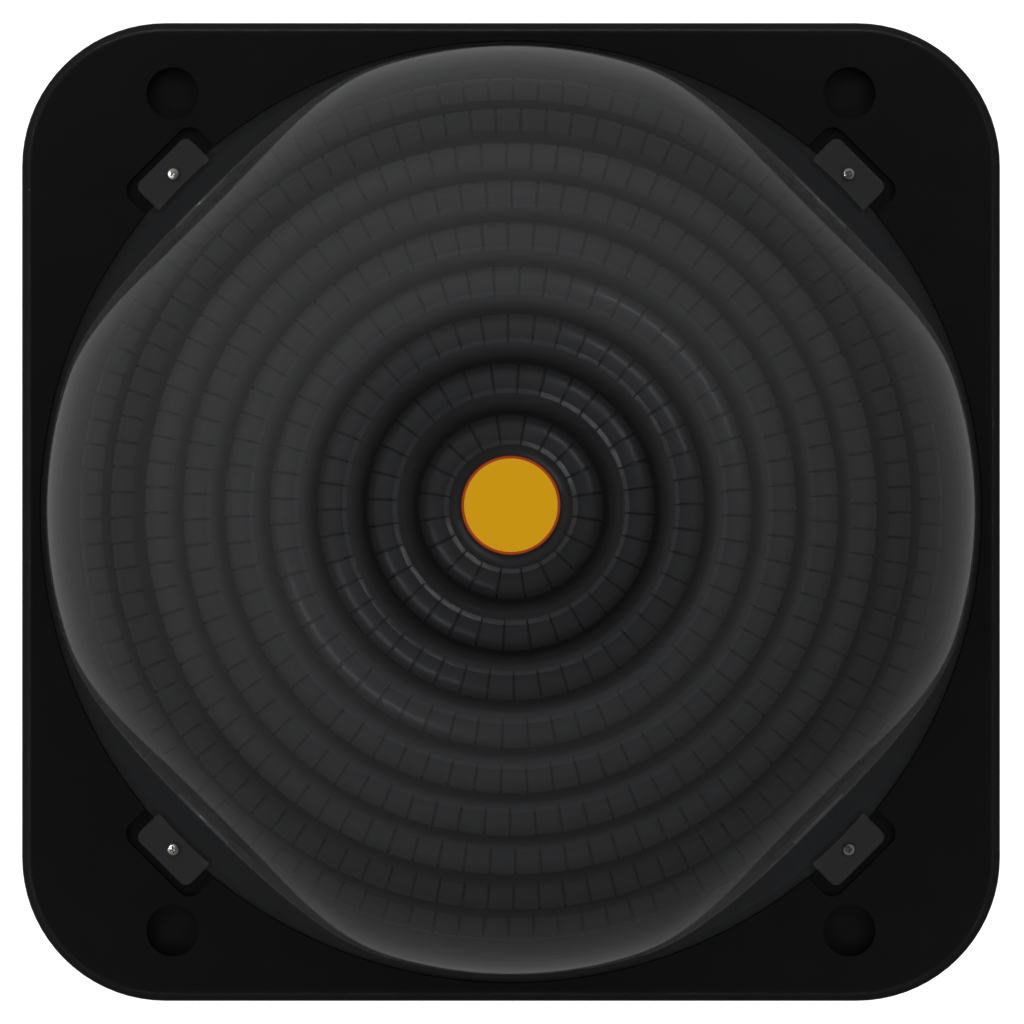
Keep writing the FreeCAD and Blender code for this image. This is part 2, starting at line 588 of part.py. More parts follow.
def make_tray():
    outer = rounded_block(BASE_SIZE, BASE_SIZE, BASE_CORNER_R, SKIRT_BOTTOM_Z, BASE_TOP_Z)
    top_edges = [e for e in outer.Edges if e.BoundBox.ZMin > BASE_TOP_Z - CLEAR]
    outer = outer.makeFillet(TOP_EDGE_R, top_edges)
    # the hollow under the deck, deeper outside the rebate, with a step that follows it
    inside = rounded_block(2 * SKIRT_INNER, 2 * SKIRT_INNER, BASE_CORNER_R - SKIRT_WALL,
                           SKIRT_BOTTOM_Z - CLEAR, BASE_TOP_Z - DECK_WALL)
    step = cylinder(REBATE_R + DECK_WALL, DECK_UNDER_Z, BASE_TOP_Z)
    for angle in DIAGONALS:
        step = step.fuse(turned(ear_shape(POCKET_WIDTH + 2 * DECK_WALL, POCKET_RADIUS + DECK_WALL,
                                          EAR_CORNER_R + 2 * DECK_WALL, DECK_UNDER_Z, BASE_TOP_Z), angle))
    tray = outer.cut(inside.cut(step))
    # rebate for the cover's flange, and a pocket for each ear
    rebate = cylinder(REBATE_R, REBATE_Z, BASE_TOP_Z + CLEAR)
    for angle in DIAGONALS:
        rebate = rebate.fuse(turned(ear_shape(POCKET_WIDTH, POCKET_RADIUS, EAR_CORNER_R + DECK_WALL,
                                              REBATE_Z, BASE_TOP_Z + CLEAR), angle))
    tray = tray.cut(rebate)
    # foot posts and the recesses in their tops
    for place in recess_places():
        tray = tray.fuse(cylinder(RECESS_R + POST_WALL, SKIRT_BOTTOM_Z, BASE_TOP_Z - DECK_WALL / 2,
                                  place.x, place.y))
        tray = tray.cut(cylinder(RECESS_R, BASE_TOP_Z - RECESS_DEPTH, BASE_TOP_Z + CLEAR,
                                 place.x, place.y))
        tray = tray.cut(cylinder(RECESS_R, SKIRT_BOTTOM_Z - CLEAR,
                                 BASE_TOP_Z - RECESS_DEPTH - POST_FLOOR, place.x, place.y))
    # screw bosses
    boss_bottom = BASE_TOP_Z - SCREW_LENGTH - DECK_WALL
    bosses = [(place, PAN_TOP_Z) for place in pan_screw_places()]
    bosses += [(place, boss_bottom) for place in cover_screw_places() + arm_screw_places()]
    for place, bottom in bosses:
        boss = cylinder(BOSS_R, bottom, BASE_TOP_Z - DECK_WALL / 2, place.x, place.y)
        tray = tray.fuse(boss.cut(rebate))
    hole_r = SCREW_R + SCREW_HOLE_GAP
    for place in pan_screw_places():
        tray = tray.cut(cylinder(hole_r, PAN_TOP_Z - CLEAR, PAN_TOP_Z + SCREW_LENGTH, place.x, place.y))
    for place in cover_screw_places() + arm_screw_places():
        tray = tray.cut(cylinder(hole_r, boss_bottom + CLEAR, BASE_TOP_Z, place.x, place.y))
    # ways for the pipes and the ports
    for place in grommet_places():
        tray = tray.cut(cylinder(GROMMET_R, DECK_UNDER_Z - CLEAR, REBATE_Z + CLEAR, place.x, place.y))
    for side in (-1, 1):
        tray = tray.cut(cylinder_y(PORT_BODY_R + PORT_HOLE_GAP, -HALF - CLEAR,
                                   -HALF + SKIRT_WALL + CLEAR, side * PORT_X, PIPE_Z))
        for hand in (-1, 1):
            x = side * PORT_X + hand * PORT_SCREW_X
            tip = -HALF + SKIRT_WALL + PORT_SEAL_THICK + PORT_FLANGE_WALL - PORT_SCREW_LENGTH
            tray = tray.cut(cylinder_y(hole_r, tip, -HALF + SKIRT_WALL + CLEAR, x, PIPE_Z))
    save("base_tray", [tray])


def leg_lugs(x):
    """Two lugs under the pan that hold a leg's pin."""
    lugs = []
    inner = LEG_WIDTH / 2 + LUG_SIDE_GAP
    for side in (-1, 1):
        a, b = sorted((side * inner, side * (inner + LUG_WALL)))
        lug = block(x + a, x + b, LEG_PIVOT_Y - LUG_DEPTH / 2, LEG_PIVOT_Y + LUG_DEPTH / 2,
                    LEG_PIVOT_Z, PAN_BOTTOM_Z + PAN_WALL / 2)
        lug = lug.fuse(cylinder_x(LEG_BARREL_R, x + a, x + b, LEG_PIVOT_Y, LEG_PIVOT_Z))
        lugs.append(lug)
    return lugs


def make_pan():
    size = 2 * (SKIRT_INNER - PAN_GAP)
    pan = rounded_block(size, size, BASE_CORNER_R - SKIRT_WALL - PAN_GAP, PAN_BOTTOM_Z, PAN_TOP_Z)
    for place in recess_places():
        pan = pan.cut(cylinder(RECESS_R + POST_WALL + PAN_GAP, PAN_BOTTOM_Z - CLEAR, PAN_TOP_Z + CLEAR,
                               place.x, place.y))
    for place in pan_screw_places():
        pan = pan.cut(cylinder(SCREW_R + SCREW_HOLE_GAP, PAN_BOTTOM_Z - CLEAR, PAN_TOP_Z + CLEAR,
                               place.x, place.y))
    for side in (-1, 1):
        for lug in leg_lugs(side * LEG_X):
            pan = pan.fuse(lug)
        pan = pan.cut(cylinder_x(PIN_R + PIN_GAP, side * LEG_X - LEG_WIDTH, side * LEG_X + LEG_WIDTH,
                                 LEG_PIVOT_Y, LEG_PIVOT_Z))
    save("base_pan", [pan])
    save("pan_screws", [screw(p.x, p.y, PAN_BOTTOM_Z, SCREW_LENGTH, -1) for p in pan_screw_places()])
    feet = []
    for place in recess_places():
        foot = cylinder(RECESS_R + POST_WALL, 0, SKIRT_BOTTOM_Z, place.x, place.y)
        rim = [e for e in foot.Edges if e.Closed and e.BoundBox.ZMax < CLEAR]
        foot = foot.makeFillet(CLEAR, rim)
        feet.append(foot.fuse(cylinder(RECESS_R, SKIRT_BOTTOM_Z, SKIRT_BOTTOM_Z + FOOT_PLUG_LENGTH,
                                       place.x, place.y)))
    save("foot_pads", feet)


def make_legs():
    for name, side in (("left_leg", -1), ("right_leg", 1)):
        x = side * LEG_X
        end = LEG_PIVOT_Y - LEG_LENGTH
        bar = block(x - LEG_WIDTH / 2, x + LEG_WIDTH / 2, end, LEG_PIVOT_Y,
                    LEG_PIVOT_Z - LEG_THICK / 2, LEG_PIVOT_Z + LEG_THICK / 2)
        barrel = cylinder_x(LEG_BARREL_R, x - LEG_WIDTH / 2, x + LEG_WIDTH / 2, LEG_PIVOT_Y, LEG_PIVOT_Z)
        middle = LEG_PIVOT_Y - LEG_LENGTH / 2
        slot = rounded_block(LEG_SLOT_WIDTH, LEG_SLOT_LENGTH, LEG_SLOT_WIDTH / 2 - CLEAR, 0,
                             PAN_BOTTOM_Z, x, middle)
        bar = bar.fuse(barrel).cut(slot)
        bar = bar.cut(cylinder_x(PIN_R + PIN_GAP, x - LEG_WIDTH, x + LEG_WIDTH, LEG_PIVOT_Y, LEG_PIVOT_Z))
        tip = block(x - LEG_WIDTH / 2 - LEG_TIP_WALL, x + LEG_WIDTH / 2 + LEG_TIP_WALL,
                    end - LEG_TIP_WALL, end + LEG_TIP_LENGTH,
                    LEG_PIVOT_Z - LEG_THICK / 2 - LEG_TIP_WALL, LEG_PIVOT_Z + LEG_THICK / 2 + LEG_TIP_WALL)
        save(name, [bar])
        save(name + "_tip", [tip.cut(bar)])
        reach = LEG_WIDTH / 2 + LUG_SIDE_GAP + LUG_WALL
        pin = cylinder_x(PIN_R, x - reach, x + reach, LEG_PIVOT_Y, LEG_PIVOT_Z)
        for a, b in ((-reach - PIN_HEAD, -reach), (reach, reach + PIN_HEAD)):
            pin = pin.fuse(cylinder_x(PIN_HEAD_R, x + a, x + b, LEG_PIVOT_Y, LEG_PIVOT_Z))
        save(name + "_pin", [pin])


make_turns()
make_links()
make_pipes()
make_ports()
make_clamps()
make_grommets()
make_arms()
save("arm_screws", [screw(p.x, p.y, REBATE_Z + ARM_FOOT_THICK, SCREW_LENGTH - ARM_FOOT_THICK)
                    for p in arm_screw_places()])
make_cover()
make_tray()
make_pan()
make_legs()
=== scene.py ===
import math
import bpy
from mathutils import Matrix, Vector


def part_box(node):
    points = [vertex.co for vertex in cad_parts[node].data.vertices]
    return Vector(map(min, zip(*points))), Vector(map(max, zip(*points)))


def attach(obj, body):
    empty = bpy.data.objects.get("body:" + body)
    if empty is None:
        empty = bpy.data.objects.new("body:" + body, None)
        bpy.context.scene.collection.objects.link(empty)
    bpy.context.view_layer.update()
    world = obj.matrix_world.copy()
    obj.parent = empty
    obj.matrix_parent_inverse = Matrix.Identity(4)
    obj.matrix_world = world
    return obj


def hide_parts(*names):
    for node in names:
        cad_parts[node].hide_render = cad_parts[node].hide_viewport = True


bl_info = {
    "name": "Solar dome pool heater",
    "version": (1, 0, 0),
    "blender": (4, 5, 0),
    "location": "3D View > Sidebar > Heater",
    "description": "Builds the visible pieces of a solar dome pool heater round its CAD frame",
    "category": "Object",
}

import bmesh
import bpy
from mathutils import Matrix, Vector

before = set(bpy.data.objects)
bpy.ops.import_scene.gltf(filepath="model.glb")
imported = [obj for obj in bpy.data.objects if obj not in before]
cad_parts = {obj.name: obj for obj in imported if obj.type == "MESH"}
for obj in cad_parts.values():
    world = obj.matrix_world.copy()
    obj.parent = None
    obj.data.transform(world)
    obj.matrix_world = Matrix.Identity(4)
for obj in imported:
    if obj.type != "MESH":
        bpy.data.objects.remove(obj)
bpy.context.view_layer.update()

# ---------------------------------------------------------------- places read from the frame
COVER_LOW, COVER_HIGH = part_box("cover_dome")
SCREWS_LOW, SCREWS_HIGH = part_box("cover_screws")
DISC_LOW, DISC_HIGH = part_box("sun_disc")
PORT_BOXES = [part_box(name) for name in ("inlet_socket", "outlet_socket")]
TURN_BOXES = {name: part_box(name) for name in sorted(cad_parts) if name.startswith("coil_turn_")}
DECK_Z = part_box("base_tray")[1].z
BASE_BODY = "base"
DIAGONALS = [math.radians(angle) for angle in (45, 135, 225, 315)]

PLASTIC_IOR = 1.5
GRAIN_DEPTH = 0.00002
GOLDEN_ANGLE = 2.39996        # turns the blocks of each coil turn away from those of the next
UPPER_TURNS = 4               # turns that the strip lights reach


# ---------------------------------------------------------------- settings
def length(name, description, default):
    """A setting in metres."""
    return bpy.props.FloatProperty(name=name, description=description, default=default, unit="LENGTH")


def amount(name, description, default):
    """A setting without a unit."""
    return bpy.props.FloatProperty(name=name, description=description, default=default, min=0)


def angle_of(name, description, default):
    """A setting in radians, shown in degrees."""
    return bpy.props.FloatProperty(name=name, description=description, default=default, unit="ROTATION")


def colour_of(name, description, default):
    """A colour setting, as linear red, green, blue and alpha."""
    return bpy.props.FloatVectorProperty(name=name, description=description, default=default,
                                         subtype="COLOR", size=4, min=0, max=1)


class HeaterCoverSettings(bpy.types.PropertyGroup):
    dome_radius: length("Dome radius", "Outer radius of the round dome at its foot", 0.278)
    dome_power: amount("Dome power", "Superellipse exponent of the round dome", 2.6)
    facet_radius: length("Facet distance", "Distance of the flatter bands on the diagonals at their foot",
                         0.2585)
    facet_power: amount("Facet power", "Superellipse exponent of the flatter bands", 3.3)
    crease: length("Crease", "Width over which the dome and a flatter band blend at their foot", 0.021)
    wall: length("Wall", "Thickness of the cover", 0.0025)
    flange_thick: length("Flange thickness", "Thickness of the flange", 0.003)
    flange_radius: length("Flange radius", "Outer radius of the flange", 0.2875)
    lip_width: length("Lip width", "Width of the raised lip round the flange", 0.004)
    lip_height: length("Lip height", "Height of the raised lip", 0.0012)
    ear_drop: length("Ear drop", "How far an ear's underside lies below the flange's", 0.0015)
    edge: length("Edge", "Width of the bevels on the flange, the lip and the ears", 0.0005)
    fillet: length("Fillet", "Size of the fillet between the flange and the dome", 0.0015)
    ear_reach: length("Ear reach", "Outer end of each screw ear from the middle", 0.3035)
    ear_width: length("Ear width", "Width of each screw ear", 0.0445)
    ear_corner: length("Ear corner", "Radius of an ear's outer corners", 0.005)
    tint: colour_of("Tint", "Colour of the clear plastic", (0.93, 0.94, 0.96, 1.0))
    roughness: amount("Roughness", "Roughness of the polished cover", 0.02)
    haze: amount("Haze", "Milky haze towards the cover's edge", 0.04)


class HeaterCoilSettings(bpy.types.PropertyGroup):
    hose_radius: length("Hose radius", "Radius over the raised blocks", 0.014)
    block_height: length("Block height", "Height of the blocks above the smooth hose", 0.0016)
    pitch: length("Block pitch", "Distance from block to block along the hose", 0.0145)
    groove: length("Groove", "Gap between two blocks", 0.0010)
    chamfer: length("Chamfer", "Width of the sloping inner edge of a block", 0.0030)
    bevel: length("Block bevel", "Width of the bevel on a block's edges", 0.0004)
    block_top: angle_of("Block top", "Angle over the hose's outside at which a block's top ends",
                        math.radians(91))
    block_bottom: angle_of("Block bottom", "Angle under the hose's outside at which a block ends",
                           math.radians(75))
    spigot_radius: length("Spigot radius", "Radius of the stubs that join turn to turn", 0.0065)
    spigot_length: length("Spigot length", "Length of a stub from the middle of the hose", 0.031)
    spigot_offset: length("Spigot offset", "Distance of a stub from the middle plane", 0.011)
    wall_offset: length("Wall offset", "The same distance on the turns of equal size", 0.033)
    return_tilt: angle_of("Return tilt", "Slope of the top turn's first stub", math.radians(6.66))
    colour: colour_of("Hose colour", "Colour of the black hose", (0.009, 0.009, 0.0095, 1.0))


class HeaterBaseSettings(bpy.types.PropertyGroup):
    colour: colour_of("Base colour", "Colour of the moulded base", (0.0040, 0.0040, 0.0041, 1.0))
    roughness: amount("Base roughness", "Roughness of the moulded base", 0.24)
    grain: amount("Grain", "How many grains fit in a metre of the moulded surface", 2600)
    thread_pitch: length("Thread pitch", "Pitch of the thread in each port", 0.00231)
    thread_depth: length("Thread depth", "Height of the thread's ridge", 0.0009)
    thread_start: length("Thread start", "Distance from a port's face to the start of its thread", 0.001)
    thread_end: length("Thread end", "Distance from a port's face to the end of its thread", 0.021)
    bore_radius: length("Bore radius", "Radius of a port's bore", 0.0151)


class HeaterDiscSettings(bpy.types.PropertyGroup):
    colour: colour_of("Disc colour", "Amber of the disc", (0.600, 0.305, 0.003, 1.0))
    rim_colour: colour_of("Rim colour", "Red-orange of the disc's rim", (0.33, 0.040, 0.005, 1.0))
    rim_width: length("Rim width", "Width of the disc's rim", 0.0014)
    sag: length("Sag", "How much lower the disc's edge lies than its middle", 0.00018)
    edge: length("Edge", "Width of the bevels on the disc's rim", 0.0003)


class HeaterScrewSettings(bpy.types.PropertyGroup):
    head_radius: length("Head radius", "Radius of a screw's pan head", 0.004)
    shank_radius: length("Shank radius", "Radius of a screw's shank", 0.002)
    cross_arm: length("Cross arm", "Reach of the cross recess from the middle of the head", 0.0023)
    cross_width: length("Cross width", "Width of each slot of the cross recess", 0.0011)
    cross_depth: length("Cross depth", "Depth of the cutter that makes the cross recess", 0.0017)


class HeaterStageSettings(bpy.types.PropertyGroup):
    camera_distance: length("Camera distance", "Distance from the camera to the deck", 2.0)
    camera_offset: length("Camera offset", "How far the camera stands off the middle, towards the ports",
                          0.026)
    view_width: length("View width", "Width of the view at the deck", 0.6263)
    floor_glow: amount("Floor glow", "Light given off by the pale floor", 0.75)
    overhead: amount("Overhead", "Brightness of the studio straight above", 0.06)
    walls: amount("Walls", "Brightness high on the studio's walls", 0.25)
    horizon: amount("Horizon", "Brightness of the studio at eye level", 0.21)
    below: amount("Below", "Brightness of the studio under eye level", 0.10)
    tilt: amount("Tilt", "How much brighter the studio is at the back than at the front", 0.40)
    key_power: amount("Key power", "Power of each soft key light", 26.0)
    strip_power: amount("Strip power", "Power of each low strip light", 4.0)
    screw_power: amount("Screw power", "Power of the light that shows the screws", 9.0)
    band_power: amount("Band power", "Power of the lights that trace the base's rounded edge", 3.0)


SETTINGS = {
    "heater_cover": HeaterCoverSettings,
    "heater_coil": HeaterCoilSettings,
    "heater_base": HeaterBaseSettings,
    "heater_disc": HeaterDiscSettings,
    "heater_screws": HeaterScrewSettings,
    "heater_stage": HeaterStageSettings,
}


# ---------------------------------------------------------------- node helpers
def add_node(tree, kind, inputs=None, **props):
    """A node with its properties set; inputs maps a socket's name or number to a value or a socket."""
    node = tree.nodes.new(kind)
    for name, value in props.items():
        setattr(node, name, value)
    for key, value in (inputs or {}).items():
        if isinstance(value, bpy.types.NodeSocket):
            tree.links.new(value, node.inputs[key])
        else:
            node.inputs[key].default_value = value
    return node


def add_socket(tree, name, kind, in_out="INPUT", default=None):
    socket = tree.interface.new_socket(name, in_out=in_out, socket_type=kind)
    if default is not None:
        socket.default_value = default


def shader_group(name, inputs, outputs):
    """An empty shader node group with its named sockets; returns it with its input and output nodes."""
    group = bpy.data.node_groups.new(name, "ShaderNodeTree")
    for socket, (kind, default) in inputs.items():
        add_socket(group, socket, kind, "INPUT", default)
    for socket, kind in outputs.items():
        add_socket(group, socket, kind, "OUTPUT")
    return group, group.nodes.new("NodeGroupInput"), group.nodes.new("NodeGroupOutput")


def moulded_grain_group():
    """Fine grain of a moulded surface: a roughness that varies and a height for a Bump node."""
    if "moulded_grain" in bpy.data.node_groups:
        return bpy.data.node_groups["moulded_grain"]
    group, given, result = shader_group(
        "moulded_grain",
        {"Scale": ("NodeSocketFloat", 2000.0), "Roughness": ("NodeSocketFloat", 0.4),
         "Spread": ("NodeSocketFloat", 0.08)},
        {"Roughness": "NodeSocketFloat", "Height": "NodeSocketFloat"})
    place = add_node(group, "ShaderNodeTexCoord").outputs["Object"]
    grain = add_node(group, "ShaderNodeTexNoise",
                     {"Vector": place, "Scale": given.outputs["Scale"], "Detail": 2.0, "Roughness": 0.6})
    cells = add_node(group, "ShaderNodeTexVoronoi", {"Vector": place, "Scale": given.outputs["Scale"]})
    height = add_node(group, "ShaderNodeMath", {0: grain.outputs["Fac"], 1: cells.outputs["Distance"]},
                      operation="ADD")
    patches = add_node(group, "ShaderNodeTexNoise", {"Vector": place, "Scale": 28.0, "Detail": 5.0})
    centred = add_node(group, "ShaderNodeMath", {0: patches.outputs["Fac"], 1: 0.5}, operation="SUBTRACT")
    varied = add_node(group, "ShaderNodeMath", {0: centred.outputs[0], 1: given.outputs["Spread"],
                                                2: given.outputs["Roughness"]}, operation="MULTIPLY_ADD")
    group.links.new(varied.outputs[0], result.inputs["Roughness"])
    group.links.new(height.outputs[0], result.inputs["Height"])
    return group


def light_dust_group():
    """A thin uneven film of dust on faces that look up."""
    if "light_dust" in bpy.data.node_groups:
        return bpy.data.node_groups["light_dust"]
    group, given, result = shader_group(
        "light_dust",
        {"Colour": ("NodeSocketColor", (0.01, 0.01, 0.01, 1.0)),
         "Dust": ("NodeSocketColor", (0.22, 0.21, 0.19, 1.0)), "Amount": ("NodeSocketFloat", 0.02)},
        {"Colour": "NodeSocketColor"})
    place = add_node(group, "ShaderNodeTexCoord").outputs["Object"]
    cloud = add_node(group, "ShaderNodeTexNoise", {"Vector": place, "Scale": 34.0, "Detail": 8.0})
    facing = add_node(group, "ShaderNodeNewGeometry").outputs["Normal"]
    up = add_node(group, "ShaderNodeSeparateXYZ", {0: facing}).outputs["Z"]
    upward = add_node(group, "ShaderNodeMapRange", {"Value": up, "From Min": 0.2, "From Max": 0.9})
    film = add_node(group, "ShaderNodeMath", {0: cloud.outputs["Fac"], 1: upward.outputs[0]},
                    operation="MULTIPLY")
    amount = add_node(group, "ShaderNodeMath", {0: film.outputs[0], 1: given.outputs["Amount"]},
                      operation="MULTIPLY")
    mix = add_node(group, "ShaderNodeMix", {0: amount.outputs[0]}, data_type="RGBA")
    group.links.new(given.outputs["Colour"], mix.inputs[6])
    group.links.new(given.outputs["Dust"], mix.inputs[7])
    group.links.new(mix.outputs[2], result.inputs["Colour"])
    return group


def new_material(name):
    """A material with an empty Principled surface; returns the material, its tree and the shader."""
    material = bpy.data.materials.new(name)
    material.use_nodes = True
    tree = material.node_tree
    return material, tree, tree.nodes["Principled BSDF"]


def set_values(shader, **values):
    """Sets a shader's sockets; a socket's name is written with underscores for spaces."""
    for name, value in values.items():
        shader.inputs[name.replace("_", " ")].default_value = value


def add_grain(tree, shader, scale, roughness, spread, bump, depth=GRAIN_DEPTH):
    """Puts the moulded grain into a shader's roughness and normal."""
    grain = add_node(tree, "ShaderNodeGroup", node_tree=moulded_grain_group())
    set_values(grain, Scale=scale, Roughness=roughness, Spread=spread)
    relief = add_node(tree, "ShaderNodeBump",
                      {"Height": grain.outputs["Height"], "Strength": bump, "Distance": depth})
    tree.links.new(grain.outputs["Roughness"], shader.inputs["Roughness"])
    tree.links.new(relief.outputs["Normal"], shader.inputs["Normal"])


def plastic(name, colour, roughness, spread=0.1, grain=2000.0, bump=0.15, dust=0.02, specular=0.5):
    """Moulded plastic or rubber: grain in its roughness and normal, and a trace of dust on top."""
    material, tree, shader = new_material(name)
    film = add_node(tree, "ShaderNodeGroup", node_tree=light_dust_group())
    set_values(film, Colour=colour, Amount=dust)
    set_values(shader, Specular_IOR_Level=specular)
    tree.links.new(film.outputs["Colour"], shader.inputs["Base Color"])
    add_grain(tree, shader, grain, roughness, spread, bump)
    return material


def clear_plastic(cover):
    """Clear polished cover; lamps pass through it, so that what is inside is lit."""
    material, tree, shader = new_material("clear_polycarbonate")
    set_values(shader, Base_Color=cover.tint, Roughness=cover.roughness, IOR=PLASTIC_IOR,
               Transmission_Weight=1.0, Sheen_Weight=cover.haze, Sheen_Roughness=0.35)
    see_through = add_node(tree, "ShaderNodeBsdfTransparent", {"Color": cover.tint})
    rays = add_node(tree, "ShaderNodeLightPath")
    mix = add_node(tree, "ShaderNodeMixShader", {0: rays.outputs["Is Shadow Ray"], 1: shader.outputs[0],
                                                 2: see_through.outputs[0]})
    tree.links.new(mix.outputs[0], tree.nodes["Material Output"].inputs["Surface"])
    return material


def frosted_plastic(cover):
    """The cover's grained screw ears, which let less light through."""
    material, tree, shader = new_material("frosted_polycarbonate")
    set_values(shader, Base_Color=cover.tint, IOR=PLASTIC_IOR, Transmission_Weight=0.975)
    add_grain(tree, shader, scale=2600.0, roughness=0.32, spread=0.1, bump=0.1)
    return material


def metal(name, colour, roughness):
    """Stainless steel with a very fine grain."""
    material, tree, shader = new_material(name)
    set_values(shader, Base_Color=colour, Metallic=1.0)
    add_grain(tree, shader, scale=5200.0, roughness=roughness, spread=0.2, bump=0.08, depth=GRAIN_DEPTH / 2)
    return material


def materials():
    """Every shared finish, made on first use."""
    scene = bpy.context.scene
    base, coil = scene.heater_base, scene.heater_coil
    recipes = {
        "base_plastic": lambda n: plastic(n, base.colour, base.roughness, spread=0.06, grain=base.grain,
                                          bump=0.06, dust=0.008, specular=0.25),
        "hose_plastic": lambda n: plastic(n, coil.colour, 0.30, grain=900.0, bump=0.006, dust=0.02),
        "fitting_plastic": lambda n: plastic(n, (0.012, 0.012, 0.013, 1), 0.36),
        "arm_plastic": lambda n: plastic(n, (0.010, 0.010, 0.011, 1), 0.45),
        "pan_plastic": lambda n: plastic(n, (0.014, 0.014, 0.015, 1), 0.50, grain=1800.0),
        "leg_plastic": lambda n: plastic(n, (0.016, 0.016, 0.017, 1), 0.45, grain=1800.0),
        "port_plastic": lambda n: plastic(n, (0.014, 0.014, 0.015, 1), 0.34),
        "rubber": lambda n: plastic(n, (0.008, 0.008, 0.008, 1), 0.75, grain=3000.0, bump=0.3, dust=0.03),
        # painted highlight: a lighter colour on the blocks' chamfers stands in for the highlight stripe that
        # light leaves along them; it is also glossier than the hose
        "rubbed_hose_edge": lambda n: plastic(n, (0.030, 0.030, 0.031, 1), 0.22, grain=900.0, bump=0.02,
                                              dust=0.0),
        "stainless": lambda n: metal(n, (0.62, 0.61, 0.58, 1), 0.30),
    }
    found = {}
    for name, recipe in recipes.items():
        found[name] = bpy.data.materials.get(name) or recipe(name)
    return found


# ---------------------------------------------------------------- mesh helpers
def new_piece(name, bm, material, sharp=32.0):
    """An object at the origin from a bmesh, smooth but for edges sharper than the given angle."""
    bmesh.ops.recalc_face_normals(bm, faces=bm.faces)
    mesh = bpy.data.meshes.new(name)
    bm.to_mesh(mesh)
    bm.free()
    mesh.shade_smooth()
    mesh.set_sharp_from_angle(angle=math.radians(sharp))
    mesh.materials.append(material)
    obj = bpy.data.objects.new(name, mesh)
    bpy.context.scene.collection.objects.link(obj)
    return obj


def grid_faces(bm, rows, close_rows=False):
    """Quads between closed rows of vertices that have the same length."""
    pairs = list(zip(rows, rows[1:])) + ([(rows[-1], rows[0])] if close_rows else [])
    for first, second in pairs:
        count = len(first)
        for i in range(count):
            j = (i + 1) % count
            corners = []
            for vertex in (first[i], first[j], second[j], second[i]):
                if vertex not in corners:
                    corners.append(vertex)
            if len(corners) > 2:
                bm.faces.new(corners)


def lathe(bm, outline, steps, closed=True):
    """Turns an outline of (radius, z) points round the vertical axis; radius 0 makes one pole vertex."""
    rows = []
    for radius, z in outline:
        if radius < 1e-7:
            rows.append([bm.verts.new((0.0, 0.0, z))] * steps)
        else:
            rows.append([bm.verts.new((radius * math.cos(2 * math.pi * i / steps),
                                       radius * math.sin(2 * math.pi * i / steps), z))
                         for i in range(steps)])
    grid_faces(bm, rows, close_rows=closed)


def plain_copy(obj):
    """Turns what a piece's modifiers make into its plain mesh, and removes the modifiers."""
    bpy.context.view_layer.update()
    graph = bpy.context.evaluated_depsgraph_get()
    mesh = bpy.data.meshes.new_from_object(obj.evaluated_get(graph))
    obj.modifiers.clear()
    old = obj.data
    obj.data = mesh
    mesh.name = obj.name
    bpy.data.meshes.remove(old)
    return obj


def give(nodes, material):
    """Gives CAD nodes a finish."""
    for name in nodes:
        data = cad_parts[name].data
        data.materials.clear()
        data.materials.append(material)


def node_tree(name, inputs):
    """An empty Geometry Nodes tree with named inputs and one geometry output."""
    tree = bpy.data.node_groups.new(name, "GeometryNodeTree")
    add_socket(tree, "Geometry", "NodeSocketGeometry", "INPUT")
    for socket, (kind, default) in inputs.items():
        add_socket(tree, socket, kind, "INPUT", default)
    add_socket(tree, "Geometry", "NodeSocketGeometry", "OUTPUT")
    return tree, tree.nodes.new("NodeGroupInput"), tree.nodes.new("NodeGroupOutput")


def run_tree(obj, tree, values):
    """Puts a tree on an object with its inputs set, and leaves the plain result."""
    modifier = obj.modifiers.new(tree.name, "NODES")
    modifier.node_group = tree
    for item in tree.interface.items_tree:
        if item.item_type == "SOCKET" and item.in_out == "INPUT" and item.name in values:
            modifier[item.identifier] = values[item.name]
    return plain_copy(obj)


# ---------------------------------------------------------------- clear cover
def superellipse_radius(radius, height, power, z):
    """Radius of a superellipse dome at a height z above its foot."""
    share = min(max(z / height, 0.0), 1.0)
    return radius * max(1.0 - share ** power, 0.0) ** (1.0 / power)


def soft_min(a, b, softness):
    """The smaller of two lengths, rounded where they meet."""
    gap = max(softness - abs(a - b), 0.0) / softness
    return min(a, b) - gap * gap * softness * 0.25


def dome_radius(cover, inset, height, angle, z):
    """Radius of the dome at an angle round it: the round dome, cut by a flatter band on each diagonal."""
    rounded = superellipse_radius(cover.dome_radius - inset, height, cover.dome_power, z)
    band = superellipse_radius(cover.facet_radius - inset, height, cover.facet_power, z)
    for diagonal in DIAGONALS:
        share = math.cos(angle - diagonal)
        if share > 0.5:
            softness = max(cover.crease * rounded / cover.dome_radius, 1e-7)
            rounded = soft_min(rounded, band / share, softness)
    return rounded


def off_diagonal(angle):
    """Angle from the nearest diagonal."""
    return min(abs(math.remainder(angle - diagonal, 2 * math.pi)) for diagonal in DIAGONALS)


def ear_reach(cover, angle):
    """Outer radius of the flange with its ears at an angle round it."""
    half, end, corner = cover.ear_width / 2, cover.ear_reach, cover.ear_corner
    away = off_diagonal(angle)
    flange = cover.flange_radius
    if flange * math.sin(away) >= half:
        return flange
    if end * math.tan(away) <= half - corner:
        return end / math.cos(away)
    side = half / math.sin(away)
    centre = Vector((end - corner, half - corner))
    along = centre.x * math.cos(away) + centre.y * math.sin(away)
    off = centre.length_squared - corner * corner
    inside = along * along - off
    corner_reach = along + math.sqrt(inside) if inside > 0 else side
    return max(flange, min(side, corner_reach))


